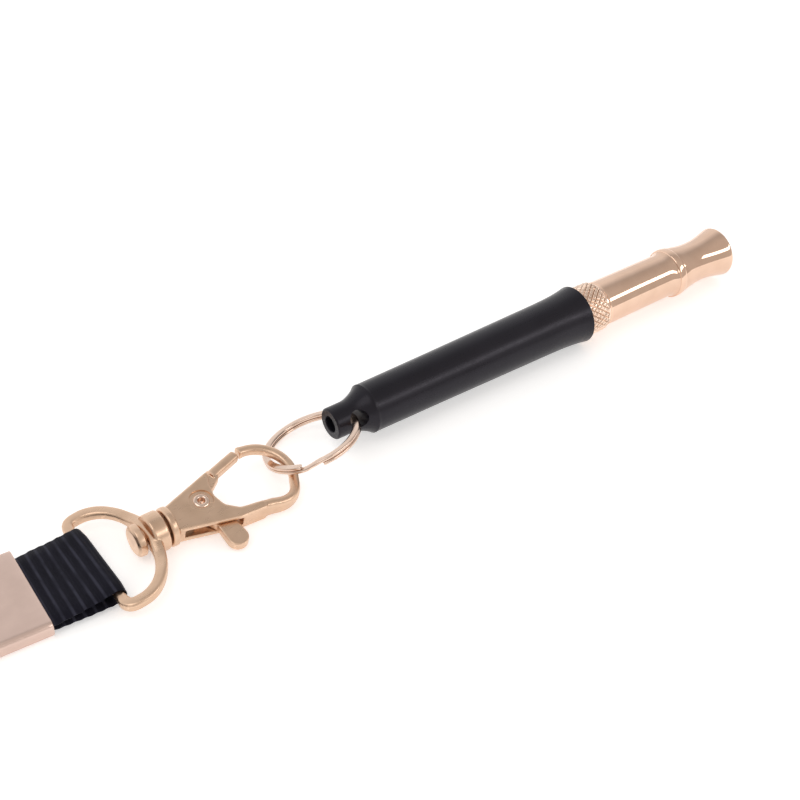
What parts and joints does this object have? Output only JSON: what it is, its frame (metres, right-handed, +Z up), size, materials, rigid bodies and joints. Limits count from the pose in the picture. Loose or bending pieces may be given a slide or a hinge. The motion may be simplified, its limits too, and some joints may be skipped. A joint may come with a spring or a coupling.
{
  "type": "dog training whistle",
  "caption": "Adjustable dog-training whistle with a black cover, on a split ring, a swivel clasp with a D-ring, and a crimped webbing neck strap.",
  "frame": {"origin": "on the table, under the middle of the object's box without the free neck strap", "axes": "+X from the strap to the whistle's mouthpiece, +Y across the strap, +Z up off the table"},
  "size_m": [0.301, 0.108, 0.0156],
  "materials": {
    "cover_plastic": "black moulded plastic, soft sheen",
    "nickel": "bright nickel plate with a warm tint",
    "plated_tube": "turned brass, thinly plated",
    "steel_wire": "bright plated flat steel wire",
    "cast_zinc": "satin nickel-plated casting",
    "spring_steel": "spring wire",
    "black_rubber": "soft rubber",
    "webbing": "navy-black ribbed grosgrain webbing",
    "crimp_plate": "satin nickel-plated sheet"
  },
  "bodies": {
    "strap": {"crimp": "crimp_plate", "webbing_tab": "webbing", "neck_strap_lower": "webbing", "neck_strap_upper": "webbing", "neck_strap_coil": "webbing"},
    "d_ring": {"swivel_ring": "cast_zinc"},
    "clasp": {"clasp_body": "cast_zinc", "clasp_rivet": "steel_wire", "swivel_pin": "cast_zinc", "lever_spring": "spring_steel"},
    "gate": {"clasp_lever": "cast_zinc"},
    "key_ring": {"split_ring": "steel_wire"},
    "cover": {"protective_cover": "cover_plastic"},
    "tube": {"sound_tube": "plated_tube", "nozzle_core": "plated_tube", "cover_grip_ring": "black_rubber"},
    "stem_seal": {"stem_seal": "black_rubber"},
    "mouthpiece": {"mouthpiece": "nickel"},
    "nut_washer": {"lock_washer": "steel_wire"},
    "lock_nut": {"lock_nut": "nickel"},
    "piston_seal": {"piston_seal": "black_rubber"},
    "piston": {"tuning_piston": "plated_tube"},
    "rear_washer": {"rear_washer": "spring_steel"},
    "rear_nut": {"rear_nut": "plated_tube"}
  },
  "joints": [
    {"name": "strap_fold", "type": "hinge", "parent": "strap", "child": "d_ring", "pos_m": [-0.05104, 0, 0.00206], "axis": [0, 1, 0], "range_deg": [-110, 110]},
    {"name": "swivel", "type": "hinge", "parent": "d_ring", "child": "clasp", "pos_m": [-0.04145, -0.0004, 0.00315], "axis": [1, 0, 0], "continuous": true},
    {"name": "gate_press", "type": "hinge", "parent": "clasp", "child": "gate", "pos_m": [-0.0333, 0.00052, 0.00314], "axis": [0.0262, -0.2249, 0.974], "range_deg": [-22, 0], "stiffness_Nm_per_rad": 0.02, "springref_deg": 20.05, "deforming": ["lever_spring"]},
    {"name": "ring_turn", "type": "hinge", "parent": "clasp", "child": "key_ring", "pos_m": [-0.01228, 0.00275, 0.00375], "axis": [-0.1736, 0.3368, 0.9254], "range_deg": [-80, 80]},
    {"name": "cover_swing", "type": "hinge", "parent": "key_ring", "child": "cover", "pos_m": [-0.00475, 0.0032, 0.005], "axis": [0, 0.9397, -0.342], "range_deg": [-100, 100]},
    {"name": "cover_pull", "type": "slide", "parent": "cover", "child": "tube", "axis": [1, 0, 0], "range_m": [0, 0.042]},
    {"name": "mouthpiece_travel", "type": "slide", "parent": "tube", "child": "stem_seal", "axis": [1, 0, 0], "range_m": [0, 0.003]},
    {"name": "mouthpiece_turn", "type": "hinge", "parent": "stem_seal", "child": "mouthpiece", "pos_m": [0.0489, 0.0032, 0.005], "axis": [1, 0, 0], "range_deg": [0, 2160]},
    {"name": "nut_travel", "type": "slide", "parent": "mouthpiece", "child": "nut_washer", "axis": [-1, 0, 0], "range_m": [0, 0.00025]},
    {"name": "nut_turn", "type": "hinge", "parent": "nut_washer", "child": "lock_nut", "pos_m": [0.0463, 0.0032, 0.005], "axis": [-1, 0, 0], "range_deg": [0, 180]},
    {"name": "piston_travel", "type": "slide", "parent": "tube", "child": "piston_seal", "axis": [1, 0, 0], "range_m": [0, 0.0025]},
    {"name": "piston_turn", "type": "hinge", "parent": "piston_seal", "child": "piston", "pos_m": [0.0115, 0.0032, 0.005], "axis": [1, 0, 0], "range_deg": [0, 1800]},
    {"name": "rear_nut_travel", "type": "slide", "parent": "tube", "child": "rear_washer", "axis": [-1, 0, 0], "range_m": [0, 0.00025]},
    {"name": "rear_nut_turn", "type": "hinge", "parent": "rear_washer", "child": "rear_nut", "pos_m": [0.0044, 0.0032, 0.005], "axis": [-1, 0, 0], "range_deg": [0, 180]}
  ],
  "couplings": [
    {"joint": "mouthpiece_turn", "follows": "mouthpiece_travel", "rad_per_m": 12566},
    {"joint": "nut_turn", "follows": "nut_travel", "rad_per_m": 12566},
    {"joint": "piston_turn", "follows": "piston_travel", "rad_per_m": 12566},
    {"joint": "rear_nut_turn", "follows": "rear_nut_travel", "rad_per_m": 12566}
  ]
}
